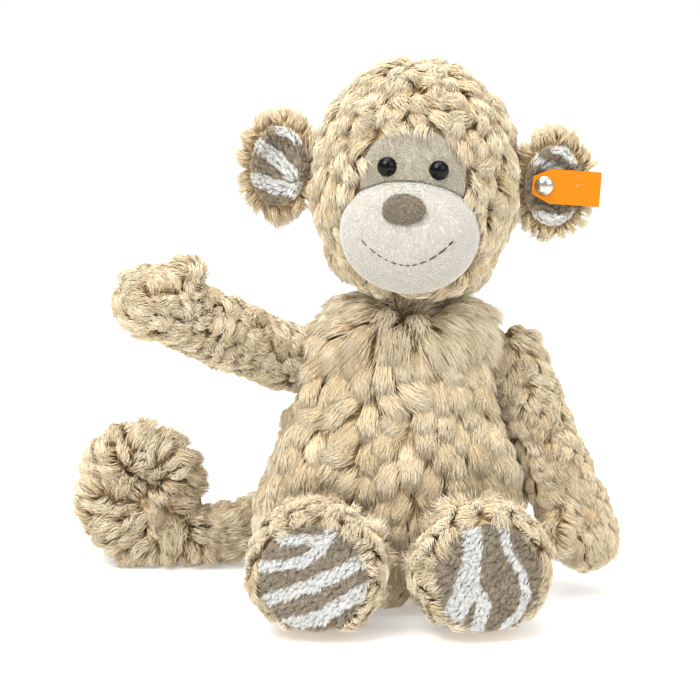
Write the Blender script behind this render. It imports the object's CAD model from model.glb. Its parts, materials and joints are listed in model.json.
import json
import math

import bmesh
import bpy
import numpy as np
from mathutils import Matrix, Vector, kdtree
from mathutils.bvhtree import BVHTree


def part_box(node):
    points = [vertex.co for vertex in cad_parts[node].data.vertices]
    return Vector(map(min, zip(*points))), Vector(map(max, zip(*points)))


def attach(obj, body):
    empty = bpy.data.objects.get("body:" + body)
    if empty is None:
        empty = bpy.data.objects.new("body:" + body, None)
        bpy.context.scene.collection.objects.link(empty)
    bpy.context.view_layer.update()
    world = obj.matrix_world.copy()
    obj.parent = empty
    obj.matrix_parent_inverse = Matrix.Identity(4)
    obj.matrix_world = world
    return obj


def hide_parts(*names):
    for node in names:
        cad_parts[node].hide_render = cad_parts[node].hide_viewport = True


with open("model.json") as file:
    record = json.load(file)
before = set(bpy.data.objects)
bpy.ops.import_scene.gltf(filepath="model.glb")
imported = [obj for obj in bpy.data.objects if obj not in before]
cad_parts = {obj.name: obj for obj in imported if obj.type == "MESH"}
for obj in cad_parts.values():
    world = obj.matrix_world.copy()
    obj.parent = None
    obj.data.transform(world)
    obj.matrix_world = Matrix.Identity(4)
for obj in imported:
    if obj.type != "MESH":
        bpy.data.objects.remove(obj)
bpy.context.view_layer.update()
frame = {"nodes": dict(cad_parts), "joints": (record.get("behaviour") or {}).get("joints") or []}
NODES = frame["nodes"]
JOINTS = {joint["name"]: joint for joint in frame["joints"]}

MM = 0.001
SIDES = ("right", "left")
UP = np.array((0.0, 0.0, 1.0))


# ---------------------------------------------------------------- places read from the frame


def corners(*nodes):
    """Lowest and highest corner of several nodes together."""
    boxes = [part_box(node) for node in nodes]
    low = np.min([np.array(box[0]) for box in boxes], axis=0)
    high = np.max([np.array(box[1]) for box in boxes], axis=0)
    return low, high


def middle(*nodes):
    """Middle of the box round several nodes."""
    low, high = corners(*nodes)
    return (low + high) / 2


def pivot(joint):
    return np.array(JOINTS[joint]["pos_m"])


def unit(v):
    v = np.asarray(v, dtype=float)
    return v / np.maximum(np.linalg.norm(v, axis=-1, keepdims=True), 1e-12)


def tangent(direction, normal):
    """The part of each direction that lies in the surface."""
    return unit(direction - normal * np.sum(direction * normal, axis=-1, keepdims=True))


# ---------------------------------------------------------------- materials


def linear(colour):
    """sRGB 0..255 as the linear colour a shader takes."""
    parts = [c / 255 for c in colour]
    return [c / 12.92 if c <= 0.04045 else ((c + 0.055) / 1.055) ** 2.4 for c in parts] + [1.0]


def plain(name, colour, roughness=0.75, sheen=0.0, metallic=0.0, coat=0.0):
    material = bpy.data.materials.new(name)
    material.use_nodes = True
    shader = material.node_tree.nodes["Principled BSDF"]
    shader.inputs["Base Color"].default_value = linear(colour)
    shader.inputs["Roughness"].default_value = roughness
    shader.inputs["Metallic"].default_value = metallic
    shader.inputs["Sheen Weight"].default_value = sheen
    shader.inputs["Sheen Roughness"].default_value = 0.5
    shader.inputs["Coat Weight"].default_value = coat
    shader.inputs["Coat Roughness"].default_value = 0.03
    shader.inputs["Specular IOR Level"].default_value = 0.5 if coat or metallic else 0.2
    return material


def patterned(name, dark, light, grain, bump, roughness=0.85, sheen=0.2, stretch=(1, 1, 1)):
    """A cloth whose colour and height vary with noise of a real size, grain in metres."""
    material = plain(name, light, roughness, sheen)
    nodes, links = material.node_tree.nodes, material.node_tree.links
    shader = nodes["Principled BSDF"]
    place = nodes.new("ShaderNodeTexCoord")
    scale = nodes.new("ShaderNodeMapping")
    scale.inputs["Scale"].default_value = [s / grain for s in stretch]
    links.new(place.outputs["Object"], scale.inputs["Vector"])
    noise = nodes.new("ShaderNodeTexNoise")
    noise.inputs["Scale"].default_value = 1.0
    noise.inputs["Detail"].default_value = 4.0
    links.new(scale.outputs["Vector"], noise.inputs["Vector"])
    ramp = nodes.new("ShaderNodeValToRGB")
    ramp.color_ramp.elements[0].position, ramp.color_ramp.elements[0].color = 0.3, linear(dark)
    ramp.color_ramp.elements[1].position, ramp.color_ramp.elements[1].color = 0.7, linear(light)
    links.new(noise.outputs["Fac"], ramp.inputs["Fac"])
    links.new(ramp.outputs["Color"], shader.inputs["Base Color"])
    relief = nodes.new("ShaderNodeBump")
    relief.inputs["Strength"].default_value = 0.8
    relief.inputs["Distance"].default_value = bump
    links.new(noise.outputs["Fac"], relief.inputs["Height"])
    links.new(relief.outputs["Normal"], shader.inputs["Normal"])
    return material


def ramp_of(name, dark, light, steps, sheen=0.25):
    """Shades of one fibre, from its shaded root to its pale tip."""
    shades = []
    for step in range(steps):
        share = step / (steps - 1)
        colour = [d + (h - d) * share for d, h in zip(dark, light)]
        shades.append(plain(f"{name}_{step}", colour, 0.8, sheen))
    return shades


# ---------------------------------------------------------------- meshes


def add_object(name, mesh, materials):
    thing = bpy.data.objects.new(name, mesh)
    bpy.context.scene.collection.objects.link(thing)
    for material in materials:
        mesh.materials.append(material)
    return thing


def skin_of(name, nodes, voxel, inset, materials, smooth=8, shrink=None):
    """One closed skin round several solids, drawn in by inset; shrink is a centre and a share to scale by."""
    joined = bmesh.new()
    for node in nodes:
        joined.from_mesh(NODES[node].data)
    mesh = bpy.data.meshes.new(name + "_raw")
    joined.to_mesh(mesh)
    joined.free()
    raw = add_object(name + "_raw", mesh, [])
    remesh = raw.modifiers.new("Remesh", "REMESH")
    remesh.mode, remesh.voxel_size = "VOXEL", voxel
    soft = raw.modifiers.new("Smooth", "SMOOTH")
    soft.factor, soft.iterations = 0.5, smooth
    if inset:
        pulled = raw.modifiers.new("Inset", "DISPLACE")
        pulled.strength, pulled.mid_level = -inset, 0.0
    mesh = bpy.data.meshes.new_from_object(raw.evaluated_get(bpy.context.evaluated_depsgraph_get()))
    bpy.data.objects.remove(raw)
    mesh.name = name
    if shrink:
        centre, share = shrink
        there, back = Matrix.Translation(centre), Matrix.Translation(-Vector(centre))
        mesh.transform(there @ Matrix.Scale(share, 4) @ back)
    mesh.materials.clear()
    mesh.polygons.foreach_set("use_smooth", [True] * len(mesh.polygons))
    return add_object(name, mesh, materials)


def settle(piece, body, replaced=()):
    """Rides, slot and what it stands for, in one place."""
    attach(piece, body)
    if replaced:
        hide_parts(*replaced)
    return piece


def sample(mesh, spacing, rng):
    """Points spread over a mesh, one to each square of spacing, with their normals."""
    mesh.calc_loop_triangles()
    points = np.empty(len(mesh.vertices) * 3)
    mesh.vertices.foreach_get("co", points)
    points = points.reshape(-1, 3)
    normals = np.empty(len(mesh.vertices) * 3)
    mesh.vertices.foreach_get("normal", normals)
    normals = normals.reshape(-1, 3)
    corner = np.empty(len(mesh.loop_triangles) * 3, dtype=np.int64)
    mesh.loop_triangles.foreach_get("vertices", corner)
    corner = corner.reshape(-1, 3)
    a, b, c = points[corner[:, 0]], points[corner[:, 1]], points[corner[:, 2]]
    area = np.linalg.norm(np.cross(b - a, c - a), axis=1) / 2
    count = int(area.sum() / spacing**2)
    pick = rng.choice(len(corner), count, p=area / area.sum())
    u, v = rng.random(count), rng.random(count)
    over = u + v > 1
    u[over], v[over] = 1 - u[over], 1 - v[over]
    share = np.stack([1 - u - v, u, v], axis=1)[:, :, None]
    where = (points[corner[pick]] * share).sum(axis=1)
    facing = unit((normals[corner[pick]] * share).sum(axis=1))
    return where, facing


def tree_of(points):
    tree = kdtree.KDTree(len(points))
    for index, point in enumerate(points):
        tree.insert(point, index)
    tree.balance()
    return tree


def spread_out(points, gap):
    """The points that remain when no two may be nearer than gap, taken in order."""
    tree = tree_of(points)
    gone = np.zeros(len(points), dtype=bool)
    kept = []
    for index, point in enumerate(points):
        if gone[index]:
            continue
        kept.append(index)
        for _, other, _ in tree.find_range(point, gap):
            gone[other] = True
    return np.array(kept)


def strand_mesh(name, path, across, radius, shade, materials):
    """Tapered three-sided fibres, closed at the root and pointed at the tip."""
    count, rings = path.shape[0], path.shape[1]
    along = unit(np.diff(path, axis=1))
    along = np.concatenate([along, along[:, -1:]], axis=1)
    side = unit(np.cross(along, across[:, None, :]))
    out = np.cross(side, along)
    solid = rings - 1
    angles = np.array([math.pi / 2, math.pi * 7 / 6, math.pi * 11 / 6])
    ring = (
        side[:, :solid, None, :] * np.cos(angles)[None, None, :, None]
        + out[:, :solid, None, :] * np.sin(angles)[None, None, :, None]
    )
    body = path[:, :solid, None, :] + ring * radius[:, :solid, None, None]
    points = np.concatenate([body.reshape(count, solid * 3, 3), path[:, -1:, :]], axis=1)
    per = solid * 3 + 1
    quads = []
    for level in range(solid - 1):
        for k in range(3):
            n = (k + 1) % 3
            low, high = level * 3, level * 3 + 3
            quads.append((low + k, low + n, high + n, high + k))
    top = (solid - 1) * 3
    tips = [(top + k, top + (k + 1) % 3, per - 1) for k in range(3)]
    caps = [(2, 1, 0)]
    template = np.array([i for face in quads + tips + caps for i in face])
    lengths = np.array([len(face) for face in quads + tips + caps])
    level_of = np.array([face[0] // 3 for face in quads] + [solid - 1] * 3 + [0])
    loops = (template[None, :] + (np.arange(count) * per)[:, None]).ravel()
    totals = np.tile(lengths, count)
    mesh = bpy.data.meshes.new(name)
    mesh.vertices.add(count * per)
    mesh.vertices.foreach_set("co", points.ravel())
    mesh.loops.add(len(loops))
    mesh.loops.foreach_set("vertex_index", loops.astype(np.int32))
    mesh.polygons.add(len(totals))
    starts = np.concatenate([[0], np.cumsum(totals)[:-1]])
    mesh.polygons.foreach_set("loop_start", starts.astype(np.int32))
    mesh.polygons.foreach_set("material_index", shade[:, level_of].ravel().astype(np.int32))
    mesh.polygons.foreach_set("use_smooth", np.ones(len(totals), dtype=bool))
    mesh.update(calc_edges=True)
    return add_object(name, mesh, materials)


# a fibre's four points from root to tip: shares of its run, of its thickness, and of its ramp of shades
ALONG = np.array([0.0, 0.3, 0.65, 1.0])
TAPER = np.array([1.0, 0.95, 0.7, 0.0])
SHADE_LEVELS = np.array([0.16, 0.48, 0.72])
# the least gap between locks, as a share of a lock's width
LOCK_GAP = 0.72


class Pile:
    """How a pile grows, in metres.

    spacing is between roots, length runs along the cover, height stands off it, radius is a fibre's own
    and cell is a lock's width. pull draws a lock's tips together, curl waves its fibres, yaw turns whole
    locks, tuck is the tip's height as a share of the fibre's, stretch makes locks longer one way, and
    fleck varies the shades of single fibres.
    """

    def __init__(self, spacing, length, height, radius, cell, **more):
        self.spacing, self.length, self.height, self.radius, self.cell = spacing, length, height, radius, cell
        usual = {"pull": 0.4, "curl": 0.0012, "yaw": 0.45, "stretch": (1, 1, 1), "tuck": 0.8, "fleck": 0.35}
        for trait, value in {**usual, **more}.items():
            setattr(self, trait, value)


def grow(name, skin, pile, nap, keep, shades, seed, tone=None, swell=None):
    """Pile on a skin: fibres leave it in locks, lean along the nap and meet at each lock's tip."""
    rng = np.random.default_rng(seed)
    roots, normals = sample(skin.data, pile.spacing, rng)
    good = keep(roots, normals)
    roots, normals = roots[good], normals[good]
    stretch = np.array(pile.stretch)
    seeds = rng.permutation(len(roots))
    kept = spread_out(roots[seeds] * stretch, pile.cell * LOCK_GAP)
    lock_at = roots[seeds][kept]
    lock_normal = normals[seeds][kept]
    locks = len(kept)
    tree = tree_of(lock_at * stretch)
    lock = np.array([tree.find(point)[1] for point in roots * stretch])
    turn = rng.normal(0, pile.yaw, locks)
    flow = tangent(nap(lock_at, lock_normal), lock_normal)
    cross = np.cross(lock_normal, flow)
    flow = flow * np.cos(turn)[:, None] + cross * np.sin(turn)[:, None]
    lock_tall, lock_long = rng.uniform(0.7, 1.25, locks), rng.uniform(0.8, 1.2, locks)
    lock_tone, phase = rng.normal(0, 1, locks), rng.uniform(0, 2 * math.pi, locks)
    count = len(roots)
    offset = lock_at[lock] - roots
    offset -= normals * np.sum(offset * normals, axis=1, keepdims=True)
    reach = np.linalg.norm(offset, axis=1)
    dome = np.clip(1 - 0.4 * (reach / (0.6 * pile.cell)) ** 2, 0.45, 1)
    grown = np.ones(count) if swell is None else swell(roots, normals)
    tall = pile.height * grown * lock_tall[lock] * dome * rng.uniform(0.85, 1.1, count)
    long = pile.length * grown * lock_long[lock] * rng.uniform(0.75, 1.1, count)
    lean = tangent(flow[lock] + rng.normal(0, 0.16, (count, 3)), normals)
    sideways = np.cross(normals, lean)
    t = ALONG
    rise = np.array([0.0, 0.72, 1.0, pile.tuck])
    run = t**1.25
    wave = np.sin(phase[lock][:, None] + t[None, :] * 4.2) - np.sin(phase[lock])[:, None]
    path = (
        roots[:, None, :]
        + offset[:, None, :] * (pile.pull * t**0.9)[None, :, None]
        + normals[:, None, :] * (tall[:, None] * rise[None, :])[:, :, None]
        + lean[:, None, :] * (long[:, None] * run[None, :])[:, :, None]
        + sideways[:, None, :] * (pile.curl * grown[:, None] * wave * t[None, :])[:, :, None]
    )
    path[:, :, 2] = np.maximum(path[:, :, 2], 0.3 * MM)
    thick = pile.radius * rng.uniform(0.75, 1.2, count)
    radius = thick[:, None] * TAPER[None, :]
    steps = len(shades) if tone is None else len(shades) // 2
    level = SHADE_LEVELS[None, :] * steps
    shade = level + 0.4 * lock_tone[lock][:, None] + rng.normal(0, pile.fleck, count)[:, None]
    shade = np.clip(shade, 0, steps - 1).astype(int)
    if tone is not None:
        shade += steps * tone(roots)[:, None].astype(int)
    return strand_mesh(name, path, normals, radius, shade, shades)


# ---------------------------------------------------------------- the toy's cloths

PILE_DARK, PILE_LIGHT = (196, 170, 126), (255, 245, 220)
BEIGE = ramp_of("curly_pile", PILE_DARK, PILE_LIGHT, 6, sheen=0.12)
WHITE_PLUSH = ramp_of("white_plush", (226, 225, 219), (250, 250, 248), 4)
GREY_PLUSH = ramp_of("grey_plush", (134, 120, 98), (186, 172, 148), 4)
CREAM = ramp_of("cream_velour", (212, 208, 198), (232, 229, 222), 4, sheen=0.15)
GREIGE = ramp_of("greige_velour", (172, 164, 144), (224, 218, 203), 4, sheen=0.15)
BROWN = ramp_of("brown_velour", (104, 93, 77), (182, 169, 149), 4, sheen=0.15)
BACKING = patterned("pile_backing", (176, 148, 104), (218, 196, 152), 0.008, 0.001)
CREAM_SKIN = patterned("cream_backing", (206, 200, 185), (222, 217, 207), 0.0016, 0.0002)
GREIGE_SKIN = patterned("greige_backing", (164, 155, 134), (198, 190, 170), 0.0014, 0.0003)
BROWN_SKIN = patterned("brown_backing", (112, 99, 82), (158, 145, 126), 0.0012, 0.0003)
PLUSH_SKIN = patterned("plush_backing", (120, 108, 90), (168, 158, 142), 0.003, 0.0004)


def everywhere(points, normals):
    return np.ones(len(points), dtype=bool)


def off_the_floor(points, normals):
    return ~((normals[:, 2] < -0.75) & (points[:, 2] < 14 * MM))


def near(nodes, distance):
    """True where a point lies within a distance of some nodes."""
    merged = bmesh.new()
    for node in nodes:
        merged.from_mesh(NODES[node].data)
    tree = BVHTree.FromBMesh(merged)
    merged.free()

    def test(points):
        return np.array([tree.find_nearest(Vector(point), distance)[0] is not None for point in points])

    return test


# ---------------------------------------------------------------- body


BELLY_EXTRA = 0.09


def fuller_side(skin):
    """The right side of the belly stands out further than the left."""
    low, high = corners("torso_front_right")
    tall = high[2] - low[2]
    seam, waist, spread = high[0], low[2] + 0.37 * tall, 0.3 * tall
    for vertex in skin.data.vertices:
        if vertex.co.x < seam:
            share = math.exp(-(((vertex.co.z - waist) / spread) ** 2))
            vertex.co.x = seam + (vertex.co.x - seam) * (1 + BELLY_EXTRA * share)


def make_torso():
    panels = [f"torso_{face}_{side}" for face in ("front", "back") for side in SIDES] + ["torso_base"]
    inside = ["torso_stuffing"]
    skin = skin_of("torso_cover", panels + inside, 3 * MM, 3.8 * MM, [BACKING])
    fuller_side(skin)
    settle(skin, "torso", panels + inside)
    seam = corners("torso_front_left")[0][0]
    top = corners("torso_front_left")[1][2]

    def nap(points, normals):
        outward = np.clip((points[:, 0] - seam) / (30 * MM), -1, 1) * 0.35
        return np.stack([outward, np.zeros(len(points)), -np.ones(len(points))], axis=1)

    collar = 30 * MM

    def swell(points, normals):
        """A little longer at the neck, where the pile closes the gap under the chin."""
        return 1 + 0.15 * np.clip((points[:, 2] - top + collar) / collar, 0, 1)

    pile = Pile(0.74 * MM, 15 * MM, 6.5 * MM, 0.28 * MM, 11 * MM, stretch=(1, 1, 0.7), yaw=0.35, pull=0.38)
    coat = grow("torso_pile", skin, pile, nap, off_the_floor, BEIGE, 11, swell=swell)
    settle(coat, "torso")


def make_neck():
    skin = skin_of("neck_cover", ["neck_stuffing"], 2 * MM, 0, [BACKING])
    settle(skin, "neck", ["neck_stuffing"])


def make_head():
    """The head's pile grows from the crown outwards and stays off the face and the eyes."""
    panels = ["head_gusset", "head_side_right", "head_side_left"]
    face = ["muzzle", "eye_patch"]
    skin = skin_of("head_cover", panels + face + ["head_stuffing"], 3 * MM, 4.5 * MM, [BACKING])
    settle(skin, "head", panels + ["head_stuffing"])
    low, high = corners(*panels)
    crown = np.array([(low[0] + high[0]) / 2, (low[1] + high[1]) / 2 + 12 * MM, high[2]])
    on_muzzle, on_patch = near(["muzzle"], 1.4 * MM), near(["eye_patch"], 0.9 * MM)
    on_eyes = near(["right_eye", "left_eye", "eye_washers"], 4 * MM)

    def nap(points, normals):
        return (points - crown) + np.array((0, 0, -0.004))

    def keep(points, normals):
        return ~(on_muzzle(points) | on_patch(points) | on_eyes(points))

    pile = Pile(0.7 * MM, 11 * MM, 6.5 * MM, 0.26 * MM, 9 * MM, yaw=0.6, tuck=0.9, pull=0.34)
    coat = grow("head_pile", skin, pile, nap, keep, BEIGE, 12)
    settle(coat, "head")


def make_face():
    crown = middle("eye_patch") + np.array((0, 0, 0.03))
    head = middle("head_stuffing")
    inset = 0.5 * MM
    for node, skin_look, shades, slot, voxel, seed, share in (
        ("muzzle", CREAM_SKIN, CREAM, "cream_velour", 1.6 * MM, 21, 1.0),
        ("eye_patch", GREIGE_SKIN, GREIGE, "greige_velour", 1.4 * MM, 22, 1.0),
        ("nose", BROWN_SKIN, BROWN, "brown_velour", 1.0 * MM, 23, 1.03),
    ):
        grown = (middle(node), share)
        skin = skin_of(f"{node}_cover", [node], voxel, inset, [skin_look], smooth=5, shrink=grown)
        settle(skin, "head", [node])

        def nap(points, normals):
            return points - crown

        def outside(points, normals):
            return np.sum(normals * (points - head), axis=1) > 0

        usual = {"pull": 0.2, "curl": 0.0, "yaw": 0.3, "fleck": 0.7}
        pile = Pile(0.42 * MM, 0.9 * MM, 0.55 * MM, 0.15 * MM, 1.1 * MM, **usual)
        coat = grow(f"{node}_pile", skin, pile, nap, outside, shades, seed)
        settle(coat, "head")


def make_mouth():
    """A smile of separate stitches, half sunk in the velour and boldest at its left end."""
    low, high = corners("mouth_thread")
    half = (high[0] - low[0]) / 2
    cover = bpy.data.objects["muzzle_cover"]
    surface = BVHTree.FromObject(cover, bpy.context.evaluated_depsgraph_get())
    look = patterned("mouth_stitch", (14, 14, 16), (46, 44, 44), 0.0004, 0.0001, 0.6)
    stitches, at = [], -1.0
    rng = np.random.default_rng(7)
    while at < 0.98:
        length = rng.uniform(0.08, 0.15) * (1.4 if at > 0.45 else 1.0)
        line = []
        for u in np.linspace(at, min(at + length, 1.0), 5):
            x, z = (low[0] + high[0]) / 2 + u * half, low[2] + (high[2] - low[2]) * abs(u) ** 1.9
            hit = surface.ray_cast(Vector((x, low[1] - 0.05, z)), Vector((0, 1, 0)))[0]
            line.append(np.array(hit) if hit is not None else np.array((x, low[1], z)))
        thick = (0.30 + 0.16 * max(at, 0)) * MM
        proud = np.array((0, -0.52 * MM, 0))
        radii = thick * np.array([0.4, 0.9, 1.0, 0.9, 0.4])
        stitches.append(tube_mesh(f"mouth_stitch_{len(stitches)}", np.array(line) + proud, radii, 8, [look]))
        at += length + (rng.uniform(0.03, 0.06) if at < 0.4 else 0.02)
    for index, stitch in enumerate(stitches):
        settle(stitch, "head", ["mouth_thread"] if index == 0 else ())


def make_small_parts():
    gloss = plain("eye_gloss", (4, 4, 5), 0.08)
    for side in SIDES:
        dress(f"{side}_eye", gloss)
    make_mouth()
    thread = patterned("seam_stitch", (150, 130, 98), (190, 172, 138), 0.0006, 0.0001)
    for node in NODES:
        if node.endswith("seam_thread"):
            dress(node, thread)
    steel = plain("rivet_metal", (196, 190, 178), 0.24, metallic=1.0)
    dress("ear_button", steel)
    dress("ear_button_washer", steel)
    weave = (1, 1, 6)
    dress("ear_tag", patterned("yellow_tape", (192, 108, 0), (208, 128, 0), 0.0009, 0.00008, 0.7, 0.0, weave))
    dress("eye_washers", plain("washer", (216, 214, 208), 0.5))
    dress("seat_pellet_bag", patterned("pellet_cotton", (200, 196, 184), (224, 221, 212), 0.0008, 0.0002))


def dress(node, material):
    """A CAD piece shown as it is, in its own material."""
    mesh = NODES[node].data
    for index in range(len(mesh.materials)):
        mesh.materials[index] = material
    if not mesh.materials:
        mesh.materials.append(material)


# ---------------------------------------------------------------- ears


def on_stripes(u, v, stripes):
    """True on bands along short lines in a cloth's plane: each is a half width and its points, in mm."""
    inside = np.zeros(len(u), dtype=bool)
    where = np.stack([u, v], axis=1)
    for half_width, line in stripes:
        for start, end in zip(line[:-1], line[1:]):
            start, end = np.array(start, dtype=float), np.array(end, dtype=float)
            run = end - start
            share = np.clip((where - start) @ run / (run @ run), 0, 1)
            gap = np.linalg.norm(where - start - share[:, None] * run, axis=1)
            inside |= gap < half_width
    return inside


EAR_STRIPES = {
    "right": (
        (3.6, ((-10, 11), (0, 4), (9, -5))),
        (2.4, ((4, 18), (14, 12))),
        (3.2, ((-14, -5), (0, -11), (14, -12))),
    ),
    "left": (
        (2.6, ((-3, 20), (14, 10))),
        (2.4, ((-15, 14), (-2, 7), (12, 0))),
        (3.8, ((-14, -15), (3, -20), (12, -14))),
    ),
}


def ear_tone(side, centre):
    def tone(points):
        u, v = (points[:, 0] - centre[0]) / MM, (points[:, 2] - centre[2]) / MM
        return on_stripes(u, v, EAR_STRIPES[side])

    return tone


# an ear's cover against the CAD ear, which leaves room for its pile
EAR_SHARE = 0.86


def make_ear(side, seed):
    back, lining = f"{side}_ear_back", f"{side}_ear_lining"
    root = pivot(f"{side}_ear_fold")
    shrink = (root, EAR_SHARE)
    body = f"{side}_ear"
    skin = skin_of(f"{side}_ear_cover", [back], 1.3 * MM, 0, [BACKING], smooth=3, shrink=shrink)
    settle(skin, body, [back])
    front = skin_of(f"{side}_ear_front", [lining], 0.9 * MM, 0, [PLUSH_SKIN], smooth=2, shrink=shrink)
    settle(front, body, [lining])
    centre = middle(lining)
    inside = tree_of([v.co for v in front.data.vertices])

    def keep(points, normals):
        return np.array([inside.find(Vector(point))[2] > 1.3 * MM for point in points])

    def nap(points, normals):
        return points - centre + np.array((0, 0.012, 0))

    pile = Pile(0.6 * MM, 11 * MM, 4.6 * MM, 0.22 * MM, 4.5 * MM, yaw=0.4, tuck=1.0, pull=0.5)
    settle(grow(f"{side}_ear_pile", skin, pile, nap, keep, BEIGE, seed), body)

    def facing(points, normals):
        return normals[:, 1] < 0.2

    def inner_nap(points, normals):
        return points - root + np.array((0, 0, 0.01))

    plush = Pile(0.46 * MM, 3.6 * MM, 1.7 * MM, 0.16 * MM, 2.6 * MM, pull=0.3, curl=0.0003, yaw=0.25)
    shades = GREY_PLUSH + WHITE_PLUSH
    tone = ear_tone(side, centre)
    coat = grow(f"{side}_ear_plush", front, plush, inner_nap, facing, shades, seed + 1, tone=tone)
    settle(coat, body)


# ---------------------------------------------------------------- arms, legs and tail


def make_arm(side, seed):
    nodes = [f"{side}_arm_{part}" for part in ("inner", "outer", "stuffing")]
    body = f"{side}_arm"
    skin = skin_of(f"{side}_arm_cover", nodes, 2.4 * MM, 4 * MM, [BACKING], smooth=26)
    settle(skin, body, nodes)
    shoulder = pivot(f"{side}_arm_lift")
    points = np.array([v.co for v in skin.data.vertices])
    far = points[np.argmax(np.linalg.norm(points - shoulder, axis=1))]
    along = unit(far - shoulder)

    def nap(points, normals):
        return np.tile(along, (len(points), 1))

    pile = Pile(0.7 * MM, 9 * MM, 5 * MM, 0.26 * MM, 7 * MM, yaw=0.5, pull=0.32)
    settle(grow(f"{side}_arm_pile", skin, pile, nap, everywhere, BEIGE, seed), body)


SOLE_STRIPES = {
    "right": (
        (2.9, ((-25, 6), (-3, 10), (5, 17), (12, 27))),
        (2.4, ((-14, 20), (4, 21))),
        (3.5, ((-25, -12), (5, 0), (26, 12))),
        (3.7, ((-14, -23), (5, -18), (26, -3))),
    ),
    "left": (
        (4.6, ((-7, 28), (-8, 8))),
        (6.0, ((-9, 4), (-11, -4))),
        (5.6, ((-11, -4), (-16, -16))),
        (3.5, ((-6, -4), (-1.5, -12), (-5, -26))),
        (2.3, ((8, 24), (10.5, 15), (17, 3), (19.5, -7), (17, -16), (9, -24))),
    ),
}


def sole_tone(side, centre, right, up):
    """Zebra stripes in the plane of a sole, u to the viewer's right and v up."""

    def tone(points):
        u, v = (points - centre) @ right / MM, (points - centre) @ up / MM
        return on_stripes(u, v, SOLE_STRIPES[side])

    return tone


def make_leg(side, seed):
    parts = [f"{side}_leg_{part}" for part in ("upper", "lower", "stuffing")]
    sole = f"{side}_sole"
    body = f"{side}_leg"
    skin = skin_of(f"{side}_leg_cover", parts + [sole], 2.4 * MM, 4 * MM, [BACKING])
    settle(skin, body, parts)
    hip = pivot(f"{side}_leg_lift")
    centre = middle(sole)
    axis = unit(np.array((centre[0] - hip[0], centre[1] - hip[1], 0)))
    bare = near([sole], 0.8 * MM)

    def keep(points, normals):
        return ~bare(points) & off_the_floor(points, normals)

    def nap(points, normals):
        out = points - centre
        out = out - np.outer(out @ axis, axis)
        return unit(out) + 0.9 * axis

    pile = Pile(0.7 * MM, 10 * MM, 5.5 * MM, 0.26 * MM, 7.5 * MM, yaw=0.45, pull=0.34)
    settle(grow(f"{side}_leg_pile", skin, pile, nap, keep, BEIGE, seed), body)

    pad = skin_of(f"{side}_sole_pad", [sole], 1.6 * MM, 1.2 * MM, [PLUSH_SKIN], smooth=3)
    settle(pad, body, [sole])
    right = unit(np.cross(UP, axis))

    def facing(points, normals):
        return normals @ axis > 0.2

    def down(points, normals):
        return np.tile(-0.7 * UP - 0.6 * right, (len(points), 1))

    plush = Pile(0.46 * MM, 3.4 * MM, 1.7 * MM, 0.16 * MM, 2.4 * MM, pull=0.25, curl=0.0003, yaw=0.22)
    tone = sole_tone(side, centre, right, UP)
    coat = grow(f"{side}_sole_plush", pad, plush, down, facing, GREY_PLUSH + WHITE_PLUSH, seed + 1, tone=tone)
    settle(coat, body)


def tail_line(low, high, tube):
    """The tail's middle line: down to the floor from its root, up round the curl and in to its tip."""
    middle_y, reach = (low[1] + high[1]) / 2, (high[2] - low[2]) / 2
    ring = reach - tube
    curl = np.array([low[0] + 0.93 * reach, middle_y, low[2] + reach])
    root = pivot("tail_swing")
    points = []
    for share in np.linspace(0, 1, 60):
        angle = math.radians(-84 - 470 * share)
        radius = ring * (1 - 0.9 * max(share - 0.3, 0) / 0.7)
        points.append(curl + radius * np.array((0.86 * math.cos(angle), 0, math.sin(angle))))
    bend = np.array([points[0][0] + 0.42 * (root[0] - points[0][0]), middle_y, points[0][2]])
    lead = []
    for share in np.linspace(0, 0.95, 18):
        lead.append((1 - share) ** 2 * root + 2 * share * (1 - share) * bend + share**2 * points[0])
    return np.array(lead + points), curl


def tube_mesh(name, line, radii, sides, materials):
    """A closed round tube along a line, with a rounded point at each end."""
    along = unit(np.gradient(line, axis=0))
    start = unit(np.cross(along[0], (0.3, 1.0, 0.2)))
    mesh = bmesh.new()
    rings = []
    side = start
    for point, direction, radius in zip(line, along, radii):
        side = unit(side - direction * (side @ direction))
        other = np.cross(direction, side)
        ring = []
        for turn in (2 * math.pi * k / sides for k in range(sides)):
            ring.append(mesh.verts.new(point + radius * (math.cos(turn) * side + math.sin(turn) * other)))
        rings.append(ring)
    for low, high in zip(rings[:-1], rings[1:]):
        for k in range(sides):
            mesh.faces.new((low[k], low[(k + 1) % sides], high[(k + 1) % sides], high[k]))
    mesh.faces.new(list(reversed(rings[0])))
    mesh.faces.new(rings[-1])
    data = bpy.data.meshes.new(name)
    mesh.to_mesh(data)
    mesh.free()
    data.polygons.foreach_set("use_smooth", [True] * len(data.polygons))
    data.update()
    return add_object(name, data, materials)


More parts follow.
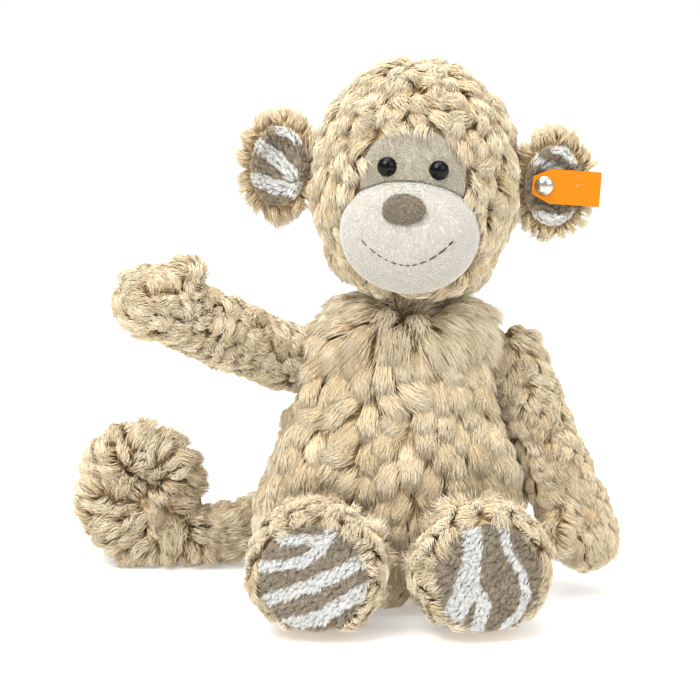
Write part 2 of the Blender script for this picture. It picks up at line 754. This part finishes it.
def make_tail():
    """A tube along the spiral, its pile leaning out from the curl."""
    nodes = ["tail_back", "tail_front", "tail_stuffing"]
    low, high = corners("tail_back", "tail_front")
    tube, reach = (high[1] - low[1]) / 2, (high[2] - low[2]) / 2
    line, curl = tail_line(low, high, tube)
    run = np.concatenate([[0], np.cumsum(np.linalg.norm(np.diff(line, axis=0), axis=1))])
    share = run / run[-1]
    radii = (tube - 5 * MM) * np.clip(1.0 - 0.15 * np.clip((share - 0.5) / 0.5, 0, 1), 0.2, 1)
    radii *= np.sqrt(np.clip(np.minimum(share, 1 - share) / 0.02, 0.05, 1))
    skin = tube_mesh("tail_cover", line, radii, 20, [BACKING])
    settle(skin, "tail", nodes)
    tree = tree_of(line)
    flow = unit(np.gradient(line, axis=0))

    def nap(points, normals):
        nearest = np.array([tree.find(Vector(point))[1] for point in points])
        outward = points - curl
        outward[:, 1] *= 0.3
        curled = (points[:, 0] < curl[0] + reach)[:, None]
        return 0.5 * flow[nearest] + np.where(curled, 1.4, 0.1) * unit(outward)

    pile = Pile(0.72 * MM, 9.5 * MM, 7.5 * MM, 0.26 * MM, 7 * MM, yaw=0.5, tuck=1.1, curl=0.0015, pull=0.42)
    settle(grow("tail_pile", skin, pile, nap, everywhere, BEIGE, 51), "tail")


# ---------------------------------------------------------------- floor, light and camera


def make_stage():
    """A pale floor, a white surround that lights less than it shows, and three soft lamps."""
    size = 4.0
    mesh = bpy.data.meshes.new("floor")
    outline = [(-size, -size, 0), (size, -size, 0), (size, size, 0), (-size, size, 0)]
    mesh.from_pydata(outline, [], [(0, 1, 2, 3)])
    paint = plain("floor_paint", (246, 246, 246), 0.8)
    glow = paint.node_tree.nodes["Principled BSDF"]
    glow.inputs["Emission Color"].default_value = (1.0, 1.0, 1.0, 1.0)
    glow.inputs["Emission Strength"].default_value = 0.3
    floor = add_object("floor", mesh, [paint])
    world = bpy.data.worlds.new("studio")
    bpy.context.scene.world = world
    world.use_nodes = True
    nodes, links = world.node_tree.nodes, world.node_tree.links
    sky = nodes["Background"]
    sky.inputs["Color"].default_value = (1.0, 1.0, 1.0, 1.0)
    seen = nodes.new("ShaderNodeLightPath")
    strength = nodes.new("ShaderNodeMapRange")
    strength.inputs["To Min"].default_value = 0.62
    strength.inputs["To Max"].default_value = 1.0
    links.new(seen.outputs["Is Camera Ray"], strength.inputs["Value"])
    links.new(strength.outputs["Result"], sky.inputs["Strength"])
    for name, at, power, size in (
        ("key", (-0.8, -0.9, 1.6), 30.0, 1.1),
        ("fill", (1.1, -0.9, 1.1), 9.0, 1.2),
        ("top", (-0.1, -0.1, 1.7), 20.0, 1.4),
    ):
        light = bpy.data.lights.new(name, "AREA")
        light.energy, light.size = power, size
        lamp = bpy.data.objects.new(name, light)
        lamp.location = at
        lamp.rotation_euler = (Vector((0, 0, 0.12)) - Vector(at)).to_track_quat("-Z", "Y").to_euler()
        bpy.context.scene.collection.objects.link(lamp)


def make_camera():
    """A long lens from the front and a little above."""
    elevation, distance = math.radians(13), 1.6
    target = Vector((-0.0204, 0, 0.1261))
    camera = bpy.data.cameras.new("camera")
    camera.sensor_width, camera.lens = 36.0, 161.3
    eye = bpy.data.objects.new("camera", camera)
    eye.location = target + distance * Vector((0, -math.cos(elevation), math.sin(elevation)))
    eye.rotation_euler = (target - eye.location).to_track_quat("-Z", "Y").to_euler()
    bpy.context.scene.collection.objects.link(eye)
    bpy.context.scene.camera = eye
    bpy.context.scene.view_settings.view_transform = "Standard"


make_torso()
make_neck()
make_head()
make_face()
make_small_parts()
make_ear("right", 31)
make_ear("left", 34)
make_arm("right", 41)
make_arm("left", 42)
make_leg("right", 61)
make_leg("left", 64)
make_tail()
make_stage()
make_camera()
